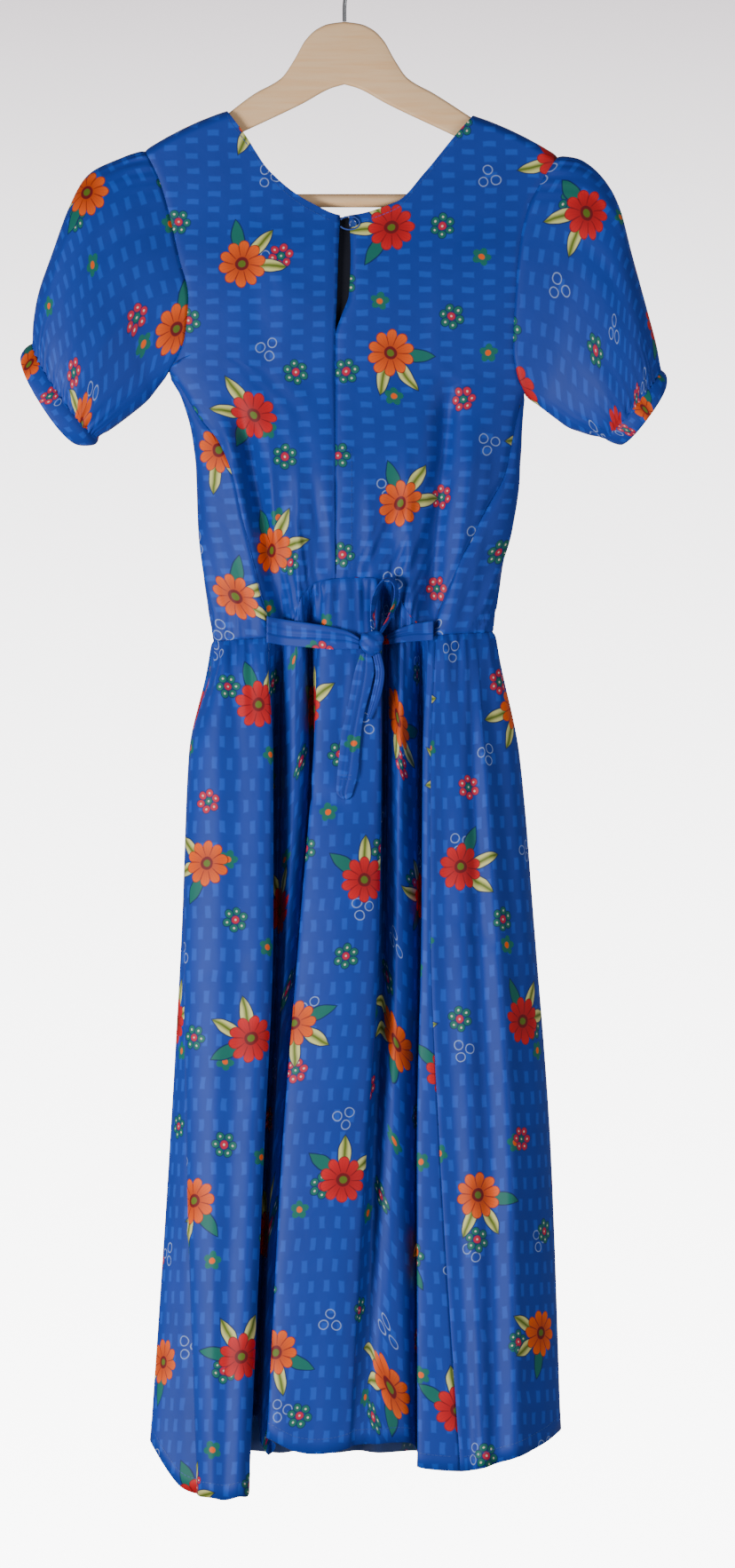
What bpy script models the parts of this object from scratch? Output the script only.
"""A midi dress hung on a wooden coat hanger, with its back turned to the viewer.

The origin is the inside top of the hanger's hook. X runs to the viewer's right, the viewer stands at -Y, Z is up.
Tables and functions use millimetres in (x, near, down): near is the distance toward the viewer from the
hanger's plane, and down is the distance below the inside top of the hook.
"""

import math

import bmesh
import bpy
import numpy as np
from mathutils.bvhtree import BVHTree

MM = 0.001

# Cloth and sewing
CLOTH = 1.2
SEAM_GAP = 0.3
HALF_GAP = SEAM_GAP / 2

# Trunk of the dress: widths of the flattened tube at each height. Above the underarm the sleeves take the sides.
TRUNK_POWER = 2.6
SHOULDER_ROUND = 9.0
SHOULDER_RISE = 3.0
TRUNK = (
    # down, left, right, half depth
    (140, -245, 255, 11.5),
    (192, -235, 245, 11.5),
    (218, -215, 228, 12.0),
    (250, -195, 206, 14.0),
    (290, -180, 189, 20.0),
    (335, -166, 176, 23.0),
    (390, -156, 165, 23.0),
    (410, -145, 160, 25.0),
    (450, -134, 157, 30.0),
    (485, -131, 155, 33.0),
    (530, -129, 148, 32.0),
    (570, -125, 138, 30.0),
    (626, -117, 132, 27.0),
    (700, -117, 132, 27.0),
)

# Corners of the trunk: neck points, shoulder tips and underarms
NECK_LEFT = (-104, 157)
TIP_LEFT = (-177, 192)
UNDERARM_LEFT = 390
NECK_RIGHT = (114, 161)
TIP_RIGHT = (189, 197)
UNDERARM_RIGHT = 410

# Edges of the back panels
ARMHOLE_LEFT = (
    # down, x
    (192, -177),
    (218, -164),
    (248, -155),
    (288, -146),
    (322, -138),
    (357, -141),
    (380, -150),
    (390, -156),
)
ARMHOLE_RIGHT = (
    # down, x
    (197, 189),
    (217, 176),
    (244, 162),
    (276, 155),
    (322, 151),
    (368, 149),
    (392, 153),
    (410, 160),
)
SIDE_SEAM_LEFT = (
    # down, x
    (390, -156),
    (407, -143),
    (430, -128),
    (450, -112),
    (477, -101),
    (515, -92),
    (557, -80),
    (588, -72),
    (603, -67),
    (640, -66),
)
SIDE_SEAM_RIGHT = (
    # down, x
    (410, 160),
    (424, 155),
    (446, 150),
    (479, 143),
    (507, 128),
    (545, 109),
    (582, 90),
    (606, 80),
    (640, 78.5),
)
SLIT_LEFT = (
    # down, x
    (240, -3.2),
    (285, -5.5),
    (320, -6.5),
    (357, -8),
    (640, -8),
)
SLIT_RIGHT = (
    # down, x
    (240, 3.6),
    (285, 5.5),
    (320, 4),
    (340, -3),
    (357, -8),
    (640, -8),
)
NECKLINE_BACK = (
    # x, down
    (-104, 157),
    (-89, 177),
    (-66, 211),
    (-31, 238),
    (0, 250),
    (46, 238),
    (71, 212),
    (98, 179),
    (114, 161),
)
NECKLINE_FRONT = (
    # x, down
    (-104, 157),
    (-90, 180),
    (-70, 216),
    (-40, 254),
    (4, 275),
    (48, 254),
    (78, 218),
    (99, 184),
    (114, 161),
)
WAIST_LEFT = (-117, 626)
WAIST_RIGHT = (132, 618)
WAIST_ARCH = (
    # x, down
    (-66, 623),
    (-46, 609),
    (-34, 585),
    (-18, 573),
    (9, 570),
    (37, 571),
    (57, 603),
    (78.5, 621),
)

# Soft folds of the trunk: they run from the first point to the second, a negative lift is a valley
TRUNK_FOLDS = (
    # side, x 1, down 1, x 2, down 2, half width, lift
    ("near", -110, 412, -74, 592, 8.0, 5.0),
    ("near", -94, 412, -57, 600, 9.0, -15.0),
    ("near", 116, 430, 94, 600, 11.0, 5.0),
    ("near", 93, 388, 76, 590, 9.5, -12.0),
    ("near", -55, 480, -53, 575, 7.0, -4.0),
    ("near", -27, 480, -24, 560, 6.0, -3.5),
    ("near", 40, 470, 44, 565, 8.0, -3.5),
    ("far", -70, 420, -58, 600, 10.0, -6.0),
    ("far", 74, 420, 60, 600, 10.0, -6.0),
    ("far", 4, 440, 2, 600, 12.0, -4.0),
)
FOLD_FADE = 40.0

# Grid of the trunk panels: shares of the height from the waist to the underarm, and from there to the top
ROWS_BELOW = (0, 0.15, 0.32, 0.49, 0.66, 0.82, 0.93)
ROWS_ABOVE = (0, 0.08, 0.22, 0.4, 0.58, 0.74, 0.86, 0.93, 0.965, 0.985, 1)
SHOULDER_COLUMNS = 5
FRONT_COLUMNS = 16
NECK_EASE = 1.8
PROBE = 0.02

# Sleeves: each section runs from its outer to its inner point
SLEEVE_LEFT = (
    # outer x, outer down, inner x, inner down, half depth, droop of the near side
    (-198, 199, -166, 403, 22, 4),
    (-226, 213, -175, 414, 27, 7),
    (-242, 240, -187, 424, 31, 9),
    (-257, 281, -199, 433, 33, 10),
    (-269, 315, -209, 440, 32, 9),
    (-274, 342, -215, 443, 29, 8),
    (-275, 362, -218, 445, 26, 7),
)
SLEEVE_RIGHT = (
    # outer x, outer down, inner x, inner down, half depth, droop of the near side
    (210, 201, 172, 418, 22, 4),
    (229, 217, 184, 427, 27, 7),
    (242, 241, 198, 437, 31, 9),
    (252, 279, 209, 441, 33, 9),
    (265, 325, 219, 444, 32, 7),
    (275, 362, 226, 445, 29, 5),
    (279, 385, 229, 446, 26, 4),
)
CUFF_LEFT = (
    (-281, 366, -221, 452, 28, 8),
    (-285, 371, -233, 453, 28, 11),
)
CUFF_RIGHT = (
    (284, 390, 236, 450, 28, 5),
    (285, 397, 244, 453, 28, 6),
)
SLEEVE_POWER = 2.2
CAP_GATHER = 2.0
CUFF_GATHER = 1.3

# Skirt: one row for each fold line, from the right side seam round the back to the left side seam
STATIONS = (727.0, 876.0, 1080.0)
SKIRT_BACK = (
    # name, x at waist, hip, thigh, knee, hem, near at hip, thigh, knee, hem, down at hem
    ("seam right", 78.5, 76, 76, 84, 102, 42, 50, 60, 70, 1357),
    ("right edge", 74, 69, 68, 64, 64, 38, 46, 57, 68, 1353),
    ("right turn", 72, 72, 72, 69, 69, 18, 28, 40, 54, 1348),
    ("right valley", 67, 67, 67, 64, 64, -10, 2, 16, 36, 1341),
    ("recess right", 60, 61, 61, 58, 58, 10, 20, 34, 54, 1333),
    ("recess face", 51, 50, 48, 44, 41, 23, 28, 43, 63, 1332),
    ("recess left", 44, 42, 41, 35, 30, 17, 22, 40, 66, 1333),
    ("centre valley", 37, 37, 35, 27, 19, -6, 8, 32, 67, 1333),
    ("centre turn", 32, 32, 29, 19, 8, 16, 26, 46, 71, 1334),
    ("centre right", 26, 31, 30, 19, 4, 31, 42, 56, 75, 1336),
    ("centre face right", 12, 16, 13, -3, -18, 35, 51, 63, 79, 1341),
    ("centre seam", -8, -8, -14, -30, -43, 35, 51, 63, 79, 1339),
    ("centre left", -17, -27, -39, -55, -68, 31, 43, 57, 74, 1327),
    ("strip turn", -23, -26, -35, -49, -61, 16, 31, 43, 60, 1334),
    ("strip valley", -29, -29, -39, -54, -64, -6, 16, 31, 47, 1342),
    ("strip right", -34, -33, -43, -58, -68, 15, 25, 37, 50, 1343),
    ("strip face", -42, -42, -50, -63, -73, 25, 31, 40, 52, 1333),
    ("strip left", -50, -51, -54, -64, -74, 18, 24, 32, 44, 1318),
    ("left valley", -57, -58, -60, -69, -80, -8, 6, 12, 20, 1312),
    ("seam left", -66, -66, -67, -75, -87, 20, 30, 38, 48, 1345),
)
SKIRT_SIDE_LEFT = (
    ("left edge", -71, -64, -63, -71, -84, 37, 45, 56, 67, 1377),
    ("left face right", -80, -74, -72, -80, -93, 42, 53, 65, 77, 1379),
    ("left gather", -92, -92, -92, -99, -105, 38, 51, 62, 74, 1382),
    ("left face", -103, -112, -112, -116, -117, 40, 51, 63, 75, 1380),
    ("left bend", -111, -131, -136, -135, -127, 28, 39, 52, 65, 1379),
    ("left fold", -115, -137, -142, -139, -129, 16, 27, 42, 56, 1376),
    ("left under", -116, -136, -139, -130, -116, 8, 15, 29, 42, 1370),
    ("left behind", -116.8, -137, -141, -143, -145, 2, 6, 18, 28, 1358),
    ("left outer", -117, -138, -144, -155, -171, -6, -4, 0, 8, 1333),
    ("left round", -113, -130, -137, -144, -157, -22, -28, -34, -38, 1342),
)
SKIRT_SIDE_RIGHT = (
    ("right round", 129, 147, 161, 175, 178, -22, -28, -34, -38, 1330),
    ("right outer", 132, 155, 168, 183, 192, -4, 0, 6, 12, 1323),
    ("right shade", 130, 147, 160, 172, 179, 15, 24, 32, 40, 1332),
    ("right dip", 125, 135, 148, 160, 165, 23, 34, 45, 55, 1339),
    ("right ridge", 119, 124, 134, 146, 151, 35, 48, 60, 72, 1345),
    ("right hollow", 110, 113, 119, 128, 134, 31, 43, 55, 68, 1350),
    ("right crest", 100, 102, 105, 112, 122, 39, 51, 62, 74, 1354),
    ("right plain", 88, 88, 88, 98, 112, 38, 48, 59, 70, 1356),
)
FAR_ROWS = ("front fold", "left outer", "left round", "right round", "right outer")
FRONT_FOLDS = 7
FRONT_SHIFTS = (0.1, -0.15, 0.12, -0.05, 0.18, -0.12, 0.06)
FRONT_RIDGE = (44, 54, 66, 82)
FRONT_VALLEY = (24, 28, 36, 48)
FRONT_HEM = 1348
SKIRT_ROWS = (0, 0.012, 0.035, 0.07, 0.12, 0.18, 0.26, 0.35, 0.45, 0.56, 0.67, 0.78, 0.89, 1)
SKIRT_STEPS = 2
GATHER_LIFT = 1.0
GATHER_REACH = 30.0
FOLD_START = 24.0
FOLD_START_SHARE = 0.5

# Hanger
HANGER_HALF_THICK = 5.0
HANGER_EDGE = 5.0
HANGER_SEAT = 0.8
NECK_DIP = 0.9
NECK_DIP_REACH = 14.0
HANGER_TOP = (
    # distance from the middle, down
    (0, 78),
    (14, 80),
    (25, 85),
    (35, 95),
    (44, 111),
    (56, 128),
    (80, 142),
)
HANGER_UNDERSIDE = (
    # distance from the middle, down
    (0, 133.5),
    (12, 137),
    (38, 151),
    (97, 179),
)
LOBE = (
    # distance from the middle, down: the lobe that holds the bar, and the arm's end
    (131, 197),
    (132, 241),
    (137, 246),
    (146, 246),
    (151, 240),
    (152, 216),
    (157, 213),
    (161, 206),
)
BAR_DOWN = 236.5
BAR_RADIUS = 6.0
HOOK_WIRE = 1.85
HOOK_INNER = 19.0
HOOK_TURN_DOWN = 52.0

# Ties and bow: each row is a cut across the folded band, from its first edge to its second, with the edges'
# heights over the cloth below
TIE_THICK = 3.0
LOOP_THICK = 2.0
LONG_TAIL_THICK = 2.4
REST = 0.3
TIE_LEFT = (
    # x 1, down 1, lift 1, x 2, down 2, lift 2
    (-68.5, 604.5, 1.8, -68.5, 628, 1.8),
    (-56, 607, 1.8, -56, 630, 1.8),
    (-43, 609, 1.8, -43, 631.5, 1.8),
    (-30, 611, 1.8, -30, 632.5, 1.8),
    (-12, 614, 1.8, -12, 634, 1.8),
    (3, 618, 2.5, 3, 634, 2.5),
    (12.2, 621, 4, 12.2, 634, 4),
)
TIE_RIGHT = (
    (78.5, 608.5, 1.8, 78.5, 626, 1.8),
    (70, 610, 1.8, 70, 626.5, 1.8),
    (62, 611, 1.8, 62, 627, 1.8),
    (50, 615, 1.8, 50, 628, 1.8),
    (42, 619, 2.5, 42, 629, 2.5),
    (35.8, 622, 4, 35.8, 630, 4),
)
BOW_LOOP = (
    (27, 616.8, 3, 24, 616.8, 12),
    (27, 600, 2, 23, 602, 16),
    (31, 583, 1.8, 25, 587, 17),
    (36, 572, 1.8, 32, 575, 17),
    (42, 570.5, 1.8, 39, 573, 17),
    (47, 577, 1.8, 44, 580, 16),
    (47, 591, 1.8, 43, 593, 15),
    (42, 605, 2, 38, 606, 14),
    (34, 618.4, 3, 31.5, 618.2, 12),
)
BOW_TAIL_LONG = (
    (13.5, 641, 7, 23.4, 641, 7),
    (9.4, 652, 4, 26.4, 652, 4),
    (6, 668, 2.2, 23, 670, 2.2),
    (2.4, 687, 1.5, 18.1, 688, 1.5),
    (-2.4, 707, 1.5, 14.9, 708, 1.5),
    (-4.4, 726, 1.5, 13.3, 726, 1.5),
    (-6.3, 744, 1.5, 11.8, 744, 1.5),
    (-7.1, 759, 1.5, 7.6, 760, 1.5),
)
BOW_TAIL_SHORT = (
    (24.4, 641, 7, 33, 641, 7),
    (27.5, 655, 5, 35.4, 655, 5),
    (24, 675, 3, 32, 676, 3),
    (19.5, 695, 1.8, 24, 696, 1.8),
)
KNOT_CENTRE = (24.0, 628.7)
KNOT_HALF = (10.8, 7.0, 11.5)
KNOT_POWER = 0.75
ACROSS_SAMPLES = (0, 0.2, 0.4, 0.6, 0.8, 1)
SKY = 300.0

# Neck closure
BUTTON_CENTRE = (7.5, 257.0)
BUTTON_RADIUS = 3.6
BUTTON_THICK = 2.2
LOOP_WIRE = 0.7
LOOP_CENTRE_SHIFT = -3.0
LOOP_RADII = (9.0, 5.8)

BLUE = (0.022, 0.090, 0.330)
BEECH = (0.76, 0.58, 0.42)


def clear_scene():
    for item in list(bpy.data.objects):
        bpy.data.objects.remove(item, do_unlink=True)


def material(name, colour, roughness, metallic=0.0):
    made = bpy.data.materials.new(name)
    made.use_nodes = True
    shader = made.node_tree.nodes["Principled BSDF"]
    shader.inputs["Base Color"].default_value = (*colour, 1.0)
    shader.inputs["Roughness"].default_value = roughness
    shader.inputs["Metallic"].default_value = metallic
    return made


def smooth(x, xs, ys):
    """A smooth curve through the points that never overshoots them."""
    xs = np.asarray(xs, float)
    ys = np.asarray(ys, float)
    x = min(max(x, xs[0]), xs[-1])
    steps = np.diff(xs)
    slopes = np.diff(ys) / steps
    tangents = np.empty(len(xs))
    tangents[0] = slopes[0]
    tangents[-1] = slopes[-1]
    for i in range(1, len(xs) - 1):
        before, after = slopes[i - 1], slopes[i]
        tangents[i] = 0.0 if before * after <= 0 else 2 * before * after / (before + after)
    i = min(int(np.searchsorted(xs, x, side="right")) - 1, len(xs) - 2)
    t = (x - xs[i]) / steps[i]
    return (
        (2 * t**3 - 3 * t**2 + 1) * ys[i]
        + (t**3 - 2 * t**2 + t) * steps[i] * tangents[i]
        + (3 * t**2 - 2 * t**3) * ys[i + 1]
        + (t**3 - t**2) * steps[i] * tangents[i + 1]
    )


def read(table, x, column=1):
    return smooth(x, [row[0] for row in table], [row[column] for row in table])


def unit(vector):
    return vector / max(np.linalg.norm(vector), 1e-9)


def signed_power(value, power):
    return math.copysign(abs(value) ** power, value)


def place(point):
    return (point[0] * MM, -point[1] * MM, -point[2] * MM)


def finish_mesh(name, mesh, look):
    made = bpy.data.meshes.new(name)
    bmesh.ops.recalc_face_normals(mesh, faces=mesh.faces)
    mesh.to_mesh(made)
    mesh.free()
    made.materials.append(look)
    made.shade_smooth()
    made.set_sharp_from_angle(angle=math.radians(50))
    item = bpy.data.objects.new(name, made)
    bpy.context.scene.collection.objects.link(item)
    return item


def wall(name, outer, inner, closed, look):
    """A cloth wall between two grids of points; closed grids join their last column to their first."""
    mesh = bmesh.new()
    rows, columns = outer.shape[:2]
    skins = []
    for grid in (outer, inner):
        skins.append([[mesh.verts.new(place(point)) for point in row] for row in grid])
    spans = columns if closed else columns - 1
    for skin in skins:
        for i in range(rows - 1):
            for j in range(spans):
                k = (j + 1) % columns
                mesh.faces.new((skin[i][j], skin[i][k], skin[i + 1][k], skin[i + 1][j]))
    out, into = skins
    for i in (0, rows - 1):
        for j in range(spans):
            k = (j + 1) % columns
            mesh.faces.new((out[i][j], out[i][k], into[i][k], into[i][j]))
    if not closed:
        for j in (0, columns - 1):
            for i in range(rows - 1):
                mesh.faces.new((out[i][j], out[i + 1][j], into[i + 1][j], into[i][j]))
    bmesh.ops.triangulate(mesh, faces=mesh.faces)
    return finish_mesh(name, mesh, look)


def tube(name, rings, look):
    """A closed solid through rings of points, capped at both ends."""
    mesh = bmesh.new()
    loops = [[mesh.verts.new(place(point)) for point in ring] for ring in rings]
    count = len(loops[0])
    for low, high in zip(loops, loops[1:]):
        for j in range(count):
            k = (j + 1) % count
            mesh.faces.new((low[j], low[k], high[k], high[j]))
    mesh.faces.new(loops[0])
    mesh.faces.new(loops[-1])
    bmesh.ops.triangulate(mesh, faces=mesh.faces)
    return finish_mesh(name, mesh, look)


def shoulder_down(x):
    """Height of the shoulder line over x, which the hanger's arms follow."""
    neck, tip = (NECK_LEFT, TIP_LEFT) if x < 0 else (NECK_RIGHT, TIP_RIGHT)
    share = (x - neck[0]) / (tip[0] - neck[0])
    line = neck[1] + share * (tip[1] - neck[1])
    if 0 < share < 1:
        line -= SHOULDER_RISE * 4 * share * (1 - share)
    return line


def fold_lift(side, x, down):
    """Height of the trunk's soft folds over a point."""
    lift = 0.0
    for fold_side, x1, down1, x2, down2, half_width, height in TRUNK_FOLDS:
        if fold_side != side:
            continue
        share = (down - down1) / (down2 - down1)
        fade = min((down - down1) / FOLD_FADE, (down2 + FOLD_FADE - down) / FOLD_FADE, 1.0)
        if fade <= 0:
            continue
        middle = x1 + share * (x2 - x1)
        lift += height * fade * math.exp(-(((x - middle) / half_width) ** 2))
    return lift


def trunk_size(down):
    left, right, depth = (read(TRUNK, down, column) for column in (1, 2, 3))
    return (left + right) / 2, (right - left) / 2, depth


def trunk(theta, down):
    """A point of the trunk's outer face. Theta is 0 at the right side, a quarter turn at the near side."""
    centre, half_width, depth = trunk_size(down)
    x = centre + half_width * signed_power(math.cos(theta), 2 / TRUNK_POWER)
    bulge = signed_power(math.sin(theta), 2 / TRUNK_POWER)
    side = "near" if bulge > 0 else "far"
    sign = 1 if bulge > 0 else -1
    near = depth * bulge + sign * min(1.0, 2 * abs(bulge)) * fold_lift(side, x, down)
    rise = (down - shoulder_down(x)) / SHOULDER_ROUND
    if rise < 1:
        near *= math.copysign(math.sqrt(1 - (1 - min(abs(rise), 1)) ** 2), rise)
        down = shoulder_down(x) + abs(rise) * SHOULDER_ROUND
    return np.array([x, near, down])


def trunk_normal(theta, down):
    turn = PROBE / 100
    around = trunk(theta + turn, down) - trunk(theta - turn, down)
    along = trunk(theta, down + PROBE) - trunk(theta, down - PROBE)
    return unit(np.cross(around, along))


def theta_at(x, down, side):
    centre, half_width, _ = trunk_size(down)
    share = min(max((x - centre) / half_width, -1.0), 1.0)
    turn = math.acos(signed_power(share, TRUNK_POWER / 2))
    return turn if side == "near" else 2 * math.pi - turn


def side_edge(side, down, panel):
    """Theta of a panel's edge at a side: its armhole above the underarm, its side seam below."""
    left = side == "left"
    underarm = UNDERARM_LEFT if left else UNDERARM_RIGHT
    if down < underarm:
        table = ARMHOLE_LEFT if left else ARMHOLE_RIGHT
        turn = theta_at(read(table, down), down, "near" if panel == "back" else "far")
    else:
        table = SIDE_SEAM_LEFT if left else SIDE_SEAM_RIGHT
        turn = theta_at(read(table, down), down, "near")
        if panel == "front" and not left:
            turn += 2 * math.pi
    return turn


def waist_down(theta):
    """Height of the waist seam: arched at the back, plain at the sides and front."""
    x = trunk(theta, WAIST_LEFT[1])[0]
    if math.sin(theta) > 0 and WAIST_ARCH[0][0] < x < WAIST_ARCH[-1][0]:
        return read(WAIST_ARCH, x)
    if math.sin(theta) > 0:
        corner, arch = (WAIST_LEFT, WAIST_ARCH[0]) if x < 0 else (WAIST_RIGHT, WAIST_ARCH[-1])
        return arch[1] + (x - arch[0]) / (corner[0] - arch[0]) * (corner[1] - arch[1])
    share = (x - WAIST_LEFT[0]) / (WAIST_RIGHT[0] - WAIST_LEFT[0])
    return WAIST_LEFT[1] + share * (WAIST_RIGHT[1] - WAIST_LEFT[1])


def top_down(x, neckline):
    if neckline[0][0] <= x <= neckline[-1][0]:
        return read(neckline, x)
    return shoulder_down(x)


def find(function, low, high):
    """The place between low and high where a rising function passes zero."""
    for _ in range(40):
        middle = (low + high) / 2
        if function(middle) < 0:
            low = middle
        else:
            high = middle
    return (low + high) / 2


def edge_rows(edge, underarm, neckline):
    """Heights of a panel's rows along one of its edges, from the waist through the underarm to the top."""
    top = find(lambda d: d - top_down(trunk(edge(d), d)[0], neckline), 150, 400)
    bottom = find(lambda d: d - waist_down(edge(d)), 500, 660)
    rows = [bottom + share * (underarm - bottom) for share in ROWS_BELOW]
    return np.array(rows + [underarm + share * (top - underarm) for share in ROWS_ABOVE])


def trunk_panel(name, edges, row_heights, bottom_shares, top_shares, neckline, look):
    """A panel of the trunk between two edges, each a function that gives theta at a height."""
    first_turns, last_turns = [[edge(d) for d in downs] for edge, downs in zip(edges, row_heights)]
    rises = [(downs[0] - downs) / (downs[0] - downs[-1]) for downs in row_heights]
    rows = len(first_turns)
    outer = np.empty((rows, len(top_shares), 3))
    normals = np.empty_like(outer)
    tangents = np.empty_like(outer)
    firsts, lasts = row_heights
    for j, (low_share, high_share) in enumerate(zip(bottom_shares, top_shares)):
        top_turn = first_turns[-1] * (1 - high_share) + last_turns[-1] * high_share
        top = find(lambda d: d - top_down(trunk(top_turn, d)[0], neckline), 150, 400)
        bottom = waist_down(first_turns[0] * (1 - low_share) + last_turns[0] * low_share)
        top_shift = top - (firsts[-1] * (1 - high_share) + lasts[-1] * high_share)
        bottom_shift = bottom - (firsts[0] * (1 - low_share) + lasts[0] * low_share)
        for i in range(rows):
            rise = rises[0][i] * (1 - high_share) + rises[1][i] * high_share
            share = low_share + rise * (high_share - low_share)
            down = firsts[i] * (1 - share) + lasts[i] * share
            down += bottom_shift * (1 - rise) ** 2 + top_shift * rise**2.5
            span = last_turns[i] - first_turns[i]
            theta = first_turns[i] + share * span
            outer[i, j] = trunk(theta, down)
            normals[i, j] = trunk_normal(theta, down)
            tangents[i, j] = unit(trunk(theta + PROBE * span, down) - trunk(theta - PROBE * span, down))
    inside = slice(1, -1)
    facing = np.cross(np.gradient(outer, axis=1), np.gradient(outer, axis=0))
    facing /= np.linalg.norm(facing, axis=2, keepdims=True)
    if np.sum(facing[inside, inside] * normals[inside, inside]) < 0:
        facing = -facing
    normals[inside, inside] = facing[inside, inside]
    normals[0, :, 2] = 0
    normals /= np.linalg.norm(normals, axis=2, keepdims=True)
    outer[0, :, 2] -= HALF_GAP
    shoulders = (outer[-1, :, 0] <= NECK_LEFT[0] + PROBE) | (outer[-1, :, 0] >= NECK_RIGHT[0] - PROBE)
    outer[-1, shoulders, 1] = HALF_GAP if neckline is NECKLINE_BACK else -HALF_GAP
    outer[:, 0] += HALF_GAP * tangents[:, 0]
    outer[:, -1] -= HALF_GAP * tangents[:, -1]
    return wall(name, outer, outer - CLOTH * normals, False, look)


def share_at(edges, row_heights, row, turn):
    """Where theta lies between a panel's edges on one of its rows."""
    first, last = (edge(downs[row]) for edge, downs in zip(edges, row_heights))
    return (turn - first) / (last - first)


def back_panel(side, slit, neck, underarm, turns, look):
    """A half of the back. Its columns meet those of the skirt at the waist."""

    def side_line(down):
        return side_edge(side, down, "back")

    def centre_line(down):
        return theta_at(read(slit, down), down, "near")

    edges = (side_line, centre_line)
    heights = [edge_rows(edge, underarm, NECKLINE_BACK) for edge in edges]
    bottom_shares = [share_at(edges, heights, 0, turn) for turn in turns]
    bottom_shares[0], bottom_shares[-1] = 0.0, 1.0
    at_neck = share_at(edges, heights, -1, theta_at(neck[0], neck[1] + PROBE, "near"))
    neck_columns = len(turns) - 1 - SHOULDER_COLUMNS
    top_shares = [at_neck * k / SHOULDER_COLUMNS for k in range(SHOULDER_COLUMNS)]
    for k in range(neck_columns + 1):
        top_shares.append(at_neck + (1 - at_neck) * (k / neck_columns) ** NECK_EASE)
    name = "bodice_back_" + side
    trunk_panel(name, edges, heights, bottom_shares, top_shares, NECKLINE_BACK, look)


def make_bodice(turns, look):
    names = [row[0] for row in SKIRT_BACK]
    centre = names.index("centre seam") * SKIRT_STEPS
    last = (len(SKIRT_BACK) - 1) * SKIRT_STEPS
    left_turns = turns[centre : last + 1][::-1]
    back_panel("left", SLIT_LEFT, NECK_LEFT, UNDERARM_LEFT, left_turns, look)
    back_panel("right", SLIT_RIGHT, NECK_RIGHT, UNDERARM_RIGHT, turns[: centre + 1], look)

    def front_left(down):
        return side_edge("left", down, "front")

    def front_right(down):
        return side_edge("right", down, "front")

    edges = (front_left, front_right)
    heights = [edge_rows(front_left, UNDERARM_LEFT, NECKLINE_FRONT)]
    heights.append(edge_rows(front_right, UNDERARM_RIGHT, NECKLINE_FRONT))
    neck_turns = [theta_at(neck[0], neck[1] + PROBE, "far") for neck in (NECK_LEFT, NECK_RIGHT)]
    left_neck, right_neck = (share_at(edges, heights, -1, turn) for turn in neck_turns)
    shares = [left_neck * k / SHOULDER_COLUMNS for k in range(SHOULDER_COLUMNS)]
    for k in range(FRONT_COLUMNS):
        ease = (1 - math.cos(math.pi * k / FRONT_COLUMNS)) / 2
        shares.append(left_neck + (right_neck - left_neck) * ease)
    for k in range(SHOULDER_COLUMNS + 1):
        shares.append(right_neck + (1 - right_neck) * k / SHOULDER_COLUMNS)
    even = [k / (len(shares) - 1) for k in range(len(shares))]
    trunk_panel("bodice_front", edges, heights, even, shares, NECKLINE_FRONT, look)


def around_shares():
    """Places round a sleeve that match the rows of the panels: 0 is the underarm, a half is the shoulder."""
    half = [math.acos(1 - 2 * share) / (2 * math.pi) for share in ROWS_ABOVE]
    return half + [1 - share for share in reversed(half[1:-1])]


def armhole_ring(side, shares):
    """Points of the armhole edge, on the near panel and then on the far one."""
    underarm, tip = (UNDERARM_LEFT, TIP_LEFT[1]) if side == "left" else (UNDERARM_RIGHT, TIP_RIGHT[1])
    points = []
    for share in shares:
        down = underarm + (tip - underarm) * (1 - math.cos(2 * math.pi * share)) / 2
        theta = side_edge(side, down, "back" if share <= 0.5 else "front")
        points.append(trunk(theta, down))
    return np.array(points)


def section_ring(section, shares):
    """Points of a sleeve section: a flattened oval from the inner point over the near side to the outer point."""
    outer_x, outer_down, inner_x, inner_down, depth, droop = section
    outer_point = np.array([outer_x, 0, outer_down], float)
    inner_point = np.array([inner_x, 0, inner_down], float)
    centre = (outer_point + inner_point) / 2
    half = (outer_point - inner_point) / 2
    across = unit(np.array([-half[2], 0, half[0]]))
    if across[2] < 0:
        across = -across
    ring = []
    for share in shares:
        turn = 2 * math.pi * share
        along = -signed_power(math.cos(turn), 2 / SLEEVE_POWER)
        near = signed_power(math.sin(turn), 2 / SLEEVE_POWER)
        ring.append(centre + half * along + np.array([0, depth * near, 0]) + across * droop * near)
    return np.array(ring)


def grid_normals(grid):
    """Unit normals of a closed grid of rings, halving the angle between the faces beside each point."""
    along = np.gradient(grid, axis=0)
    along /= np.linalg.norm(along, axis=2, keepdims=True)
    ahead = np.roll(grid, -1, axis=1) - grid
    ahead -= np.sum(ahead * along, axis=2, keepdims=True) * along
    ahead /= np.linalg.norm(ahead, axis=2, keepdims=True)
    normals = np.cross(ahead + np.roll(ahead, 1, axis=1), along)
    return normals / np.linalg.norm(normals, axis=2, keepdims=True)


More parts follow.
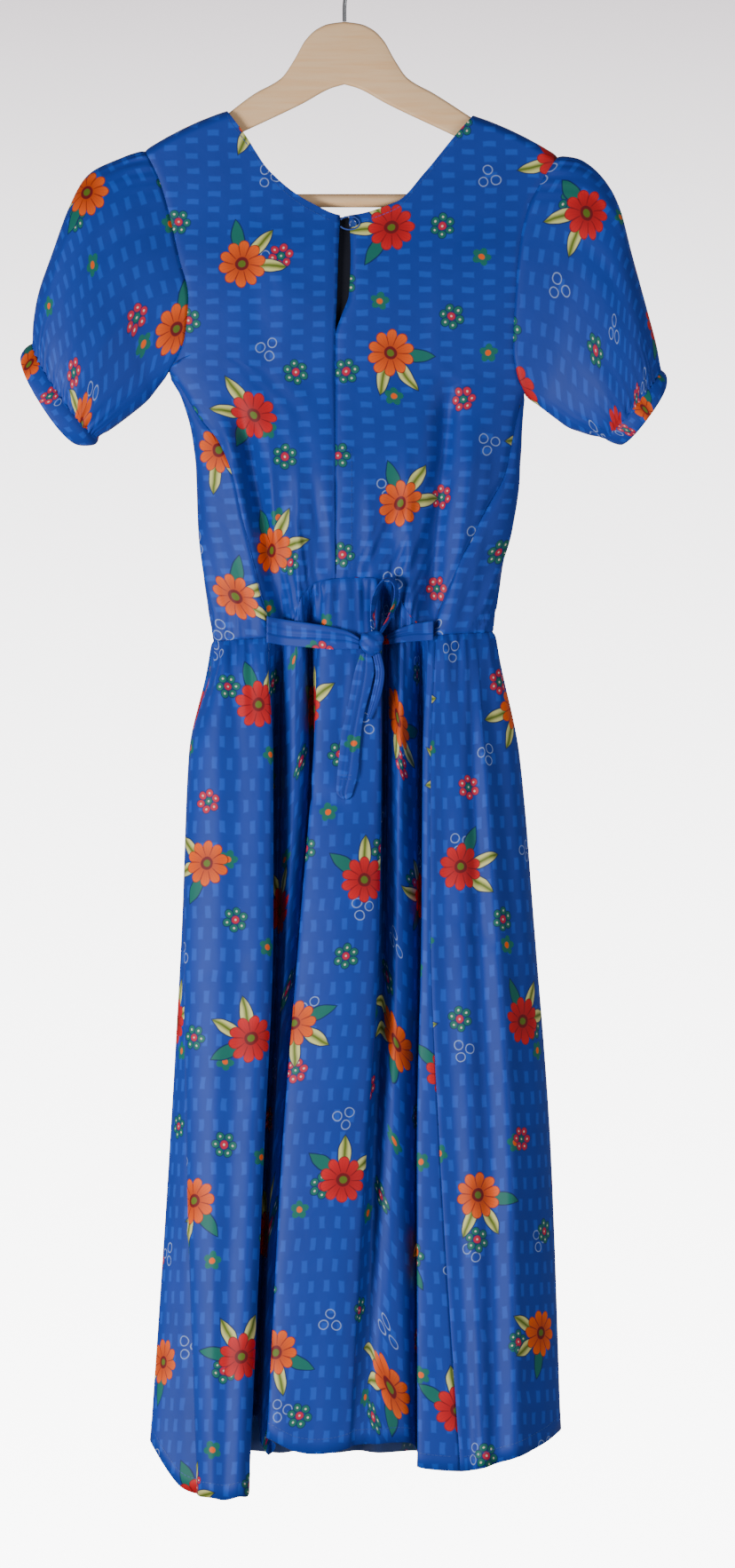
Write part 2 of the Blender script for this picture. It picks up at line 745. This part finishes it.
def make_sleeve(side, sections, cuff_sections, look):
    shares = around_shares()
    rings = [armhole_ring(side, shares)] + [section_ring(section, shares) for section in sections]
    for step in range(1, len(sections) + 1):
        for j, share in enumerate(shares):
            centre = rings[step].mean(axis=0)
            away = unit(rings[step][j] - centre)
            swing = 1 if j % 2 else -1
            cap = math.exp(-(((share - 0.5) / 0.05) ** 2)) * max(0.0, 1 - step / 3)
            hem = max(0.0, 1 - (len(sections) - 1 - step) / 2) if step < len(sections) else 0.0
            rings[step][j] += away * swing * (CAP_GATHER * cap + CUFF_GATHER * hem)
    grid = np.array(rings)
    outward = grid_normals(grid)
    if np.sum(outward[2] * (grid[2] - grid[2].mean(axis=0))) < 0:
        outward = -outward
    leave = grid[1] - grid[0]
    leave /= np.linalg.norm(leave, axis=1, keepdims=True)
    grid[0] += SEAM_GAP * leave
    wall("sleeve_" + side, grid, grid - CLOTH * outward, True, look)

    arrive = grid[-1] - grid[-2]
    arrive /= np.linalg.norm(arrive, axis=1, keepdims=True)
    cuff = [grid[-1] + SEAM_GAP * arrive] + [section_ring(section, shares) for section in cuff_sections]
    cuff = np.array(cuff)
    cuff_out = grid_normals(cuff)
    if np.sum(cuff_out[1] * (cuff[1] - cuff[1].mean(axis=0))) < 0:
        cuff_out = -cuff_out
    cuff_out[0] = outward[-1]
    wall("cuff_" + side, cuff, cuff - CLOTH * cuff_out, True, look)


def front_rows():
    """Fold lines of the hidden front of the skirt, evenly deep and unevenly spaced, from left to right."""
    left, right = SKIRT_SIDE_LEFT[-1], SKIRT_SIDE_RIGHT[0]
    rows = []
    for k in range(1, 2 * FRONT_FOLDS):
        share = (k + FRONT_SHIFTS[k % len(FRONT_SHIFTS)]) / (2 * FRONT_FOLDS)
        xs = [left[1 + i] + share * (right[1 + i] - left[1 + i]) for i in range(5)]
        depths = FRONT_RIDGE if k % 2 else FRONT_VALLEY
        rows.append(("front fold", *xs, *[-depth for depth in depths], FRONT_HEM))
    return rows


def round_curve(points, steps):
    """Points of a closed centripetal curve through the given ones, with some steps between each two."""
    count = len(points)
    made = []
    for i in range(count):
        p = [points[(i + k - 1) % count] for k in range(4)]
        t = [0.0]
        for k in range(3):
            t.append(t[-1] + max(np.linalg.norm(p[k + 1][:2] - p[k][:2]), 1e-6) ** 0.5)
        for step in range(steps):
            s = t[1] + (t[2] - t[1]) * step / steps
            a = [(p[k] * (t[k + 1] - s) + p[k + 1] * (s - t[k])) / (t[k + 1] - t[k]) for k in range(3)]
            b = [(a[k] * (t[k + 2] - s) + a[k + 1] * (s - t[k])) / (t[k + 2] - t[k]) for k in range(2)]
            made.append((b[0] * (t[2] - s) + b[1] * (s - t[1])) / (t[2] - t[1]))
    return np.array(made)


def skirt_rows():
    return list(SKIRT_BACK) + list(SKIRT_SIDE_LEFT) + front_rows() + list(SKIRT_SIDE_RIGHT)


def waist_turns(rows):
    """Theta where each column of the skirt leaves the waist seam."""
    turns = []
    for row in rows:
        far = row[0] in FAR_ROWS
        turn = theta_at(row[1], WAIST_LEFT[1], "far" if far else "near")
        if turns and turn < turns[-1]:
            turn += 2 * math.pi
        turns.append(turn)
    turns.append(turns[0] + 2 * math.pi)
    columns = []
    for k in range(len(rows) * SKIRT_STEPS):
        i, part = divmod(k, SKIRT_STEPS)
        share = part / SKIRT_STEPS
        columns.append(turns[i] * (1 - share) + turns[i + 1] * share)
    return columns


def skirt_grid(rows, thetas):
    """Outer points and normals of the whole skirt."""
    columns = len(thetas)
    loops = []
    for station in range(4):
        points = []
        for row in rows:
            down = STATIONS[station] if station < 3 else row[10]
            points.append(np.array([row[2 + station], row[6 + station], down], float))
        loops.append(round_curve(points, SKIRT_STEPS))
    outer = np.empty((len(SKIRT_ROWS), columns, 3))
    top_normals = []
    for j, theta in enumerate(thetas):
        down = waist_down(theta)
        top = trunk(theta, down)
        top_normals.append(trunk_normal(theta, down))
        start = top + FOLD_START_SHARE * (loops[0][j] - top)
        start[2] = down + FOLD_START
        start[0] = top[0] + 0.2 * (loops[0][j][0] - top[0])
        path = np.array([top, start] + [loop[j] for loop in loops])
        for i, share in enumerate(SKIRT_ROWS):
            level = down + share * (path[-1, 2] - down)
            x = smooth(level, path[:, 2], path[:, 0])
            near = smooth(level, path[:, 2], path[:, 1])
            outer[i, j] = (x, near, level)
    normals = grid_normals(outer)
    swing = np.where(np.arange(columns) % 2, 1.0, -1.0)
    for i in range(1, len(SKIRT_ROWS)):
        below = outer[i, :, 2] - outer[0, :, 2]
        lift = GATHER_LIFT * np.exp(-below / GATHER_REACH) * swing
        outer[i] += normals[i] * lift[:, None]
    normals = grid_normals(outer)
    if np.mean(np.sum(normals[5] * (outer[5] - outer[5].mean(axis=0)), axis=1)) < 0:
        normals = -normals
    normals[0] = top_normals
    normals[0, :, 2] = 0
    normals[0] /= np.linalg.norm(normals[0], axis=1, keepdims=True)
    outer[0, :, 2] += HALF_GAP
    return outer, normals


def make_skirt(rows, turns, look):
    outer, normals = skirt_grid(rows, turns)
    columns = outer.shape[1]
    seam_right = 0
    seam_left = (len(SKIRT_BACK) - 1) * SKIRT_STEPS
    spans = {
        "skirt_back": range(seam_right, seam_left + 1),
        "skirt_front": range(seam_left, columns + 1),
    }
    for name, span in spans.items():
        picks = [k % columns for k in span]
        grid = outer[:, picks].copy()
        out = normals[:, picks]
        for edge, beside in ((0, 1), (-1, -2)):
            away = grid[:, beside] - grid[:, edge]
            away[:, 2] = 0
            away /= np.linalg.norm(away, axis=1, keepdims=True)
            grid[:, edge] += HALF_GAP * away
        wall(name, grid, grid - CLOTH * out, False, look)


def cloth_tree():
    """A search tree of all the panels built so far."""
    points, faces = [], []
    for item in bpy.data.objects:
        if item.name.startswith(("bodice", "skirt")):
            first = len(points)
            points += [vert.co.copy() for vert in item.data.vertices]
            faces += [[first + k for k in face.vertices] for face in item.data.polygons]
    return BVHTree.FromPolygons(points, faces)


def cloth_near(tree, x, down):
    """How far the panels stand out toward the viewer at a point."""
    hit = tree.ray_cast(place((x, SKY, down)), (0, 1, 0))[0]
    return -hit.y / MM if hit else -SKY


def ground(tree, cut):
    """The highest cloth under a cut."""
    x1, down1, _, x2, down2, _ = cut
    spots = [(x1 + s * (x2 - x1), down1 + s * (down2 - down1)) for s in ACROSS_SAMPLES]
    return max(cloth_near(tree, x, down) for x, down in spots)


def ribbon(name, tree, cuts, look, thick):
    """A folded band through its cuts, laid over the highest cloth at each and half way to its neighbours."""
    halves = [[(a + b) / 2 for a, b in zip(one, two)] for one, two in zip(cuts, cuts[1:])]
    grounds = [ground(tree, cut) for cut in cuts]
    between = [ground(tree, half) for half in halves]
    levels = []
    for k, level in enumerate(grounds):
        levels.append(max([level] + between[max(k - 1, 0) : k + 1]))
    firsts = np.array([(cut[0], level + cut[2], cut[1]) for cut, level in zip(cuts, levels)])
    seconds = np.array([(cut[3], level + cut[5], cut[4]) for cut, level in zip(cuts, levels)])
    paths = np.gradient((firsts + seconds) / 2, axis=0)
    rings = []
    for first, second, path in zip(firsts, seconds, paths):
        normal = unit(np.cross(second - first, path)) * thick / 2
        ring = [first]
        for share, lift in ((0.12, 0.8), (0.5, 1.0), (0.88, 0.8)):
            ring.append(first + share * (second - first) + lift * normal)
        ring.append(second)
        for share, lift in ((0.88, -0.8), (0.5, -1.0), (0.12, -0.8)):
            ring.append(first + share * (second - first) + lift * normal)
        rings.append(ring)
    return tube(name, rings, look)


def make_bow(tree, look):
    ribbon("tie_left", tree, TIE_LEFT, look, TIE_THICK)
    ribbon("tie_right", tree, TIE_RIGHT, look, TIE_THICK)
    ribbon("bow_loop", tree, BOW_LOOP, look, LOOP_THICK)
    ribbon("bow_tail_long", tree, BOW_TAIL_LONG, look, LONG_TAIL_THICK)
    ribbon("bow_tail_short", tree, BOW_TAIL_SHORT, look, TIE_THICK)
    x, down = KNOT_CENTRE
    half_wide, half_deep, half_high = KNOT_HALF
    cut = (x - half_wide, down, 0, x + half_wide, down, 0)
    near = ground(tree, cut) + REST + half_deep
    mesh = bmesh.new()
    bmesh.ops.create_uvsphere(mesh, u_segments=14, v_segments=8, radius=1.0)
    for vert in mesh.verts:
        right, back, up = (signed_power(value, KNOT_POWER) for value in vert.co)
        vert.co = place((x + half_wide * right, near - half_deep * back, down - half_high * up))
    finish_mesh("bow_knot", mesh, look)


def hanger_top(x):
    distance = abs(x)
    neck = NECK_LEFT if x < 0 else NECK_RIGHT
    seat = CLOTH + HANGER_SEAT
    if distance >= abs(neck[0]):
        dip = NECK_DIP * max(0.0, 1 - (distance - abs(neck[0])) / NECK_DIP_REACH)
        return shoulder_down(x) + seat + dip
    rows = HANGER_TOP + ((abs(neck[0]), neck[1] + seat + NECK_DIP),)
    return read(rows, distance)


def make_hanger(look):
    """The wooden body: rounded upright cuts from one end to the other."""
    distances = [0, 7, 14, 20, 25, 30, 35, 40, 44, 50, 56, 68, 80, 92, 104, 114, 128]
    distances += [row[0] for row in LOBE]
    under = HANGER_UNDERSIDE + LOBE
    rings = []
    for x in [-d for d in reversed(distances)] + distances[1:]:
        top = hanger_top(x)
        bottom = read(under, abs(x)) if abs(x) <= LOBE[0][0] else dict(LOBE)[abs(x)]
        side = [(0, top), (0.72 * HANGER_HALF_THICK, top + 0.28 * HANGER_EDGE)]
        side.append((HANGER_HALF_THICK, top + HANGER_EDGE))
        side.append((HANGER_HALF_THICK, bottom - HANGER_EDGE))
        side.append((0.72 * HANGER_HALF_THICK, bottom - 0.28 * HANGER_EDGE))
        ring = side + [(0, bottom)] + [(-near, down) for near, down in reversed(side[1:])]
        rings.append([(x, near, down) for near, down in ring])
    tube("hanger_body", rings, look)


def make_bar(look):
    length = 2 * (LOBE[1][0] - 2 * SEAM_GAP)
    bpy.ops.mesh.primitive_cylinder_add(
        vertices=16, radius=BAR_RADIUS * MM, depth=length * MM, rotation=(0, math.pi / 2, 0)
    )
    bar = bpy.context.object
    bar.name = "hanger_bar"
    bar.location = place((0, 0, BAR_DOWN))
    bar.data.materials.append(look)
    bar.data.shade_smooth()
    bar.data.set_sharp_from_angle(angle=math.radians(50))


def wire(name, points, radius, look):
    curve = bpy.data.curves.new(name, "CURVE")
    curve.dimensions = "3D"
    curve.bevel_depth = radius * MM
    curve.bevel_resolution = 2
    curve.use_fill_caps = True
    spline = curve.splines.new("POLY")
    spline.points.add(len(points) - 1)
    for spot, point in zip(spline.points, points):
        spot.co = (*place(point), 1.0)
    curve.materials.append(look)
    item = bpy.data.objects.new(name, curve)
    bpy.context.scene.collection.objects.link(item)
    return item


def make_hook(look):
    """The wire hook: its stem rises from the crown, swings right and turns over the seat to the left."""
    radius = HOOK_INNER + HOOK_WIRE
    points = [(0, 0, HANGER_TOP[0][1] - SEAM_GAP), (0, 0, 66), (0.6, 0, 58)]
    for share in (0.2, 0.4, 0.6, 0.8):
        swing = (1 - math.cos(math.pi * share)) / 2
        down = HOOK_TURN_DOWN + share * (HOOK_INNER - HOOK_TURN_DOWN + 4)
        points.append((radius * swing, 0, down))
    for degrees in range(0, 211, 15):
        angle = math.radians(degrees)
        points.append((radius * math.cos(angle), 0, HOOK_INNER - radius * math.sin(angle)))
    wire("hanger_hook", points, HOOK_WIRE, look)


def make_closure(tree, button_look, thread_look):
    x, down = BUTTON_CENTRE
    near = cloth_near(tree, x, down + BUTTON_RADIUS) + REST + BUTTON_THICK / 2
    bpy.ops.mesh.primitive_cylinder_add(
        vertices=16,
        radius=BUTTON_RADIUS * MM,
        depth=BUTTON_THICK * MM,
        location=place((x, near, down)),
        rotation=(math.pi / 2, 0, 0),
    )
    button = bpy.context.object
    button.name = "neck_button"
    button.data.materials.append(button_look)
    button.data.shade_smooth()
    button.data.set_sharp_from_angle(angle=math.radians(50))
    wide, high = LOOP_RADII
    points = []
    for degrees in range(-150, 151, 25):
        angle = math.radians(degrees)
        spot = x + LOOP_CENTRE_SHIFT + wide * math.cos(angle)
        points.append((spot, near, down + high * math.sin(angle)))
    wire("neck_loop", points, LOOP_WIRE, thread_look)


def main():
    clear_scene()
    cloth = material("printed viscose", BLUE, 0.75)
    wood = material("lacquered beech", BEECH, 0.45)
    steel = material("bright steel", (0.6, 0.6, 0.62), 0.25, 1.0)
    pearl = material("pearl plastic", (0.85, 0.85, 0.82), 0.3)
    make_hanger(wood)
    make_bar(wood)
    make_hook(steel)
    rows = skirt_rows()
    turns = waist_turns(rows)
    make_bodice(turns, cloth)
    make_sleeve("left", SLEEVE_LEFT, CUFF_LEFT, cloth)
    make_sleeve("right", SLEEVE_RIGHT, CUFF_RIGHT, cloth)
    make_skirt(rows, turns, cloth)
    tree = cloth_tree()
    make_bow(tree, cloth)
    make_closure(tree, pearl, cloth)


main()
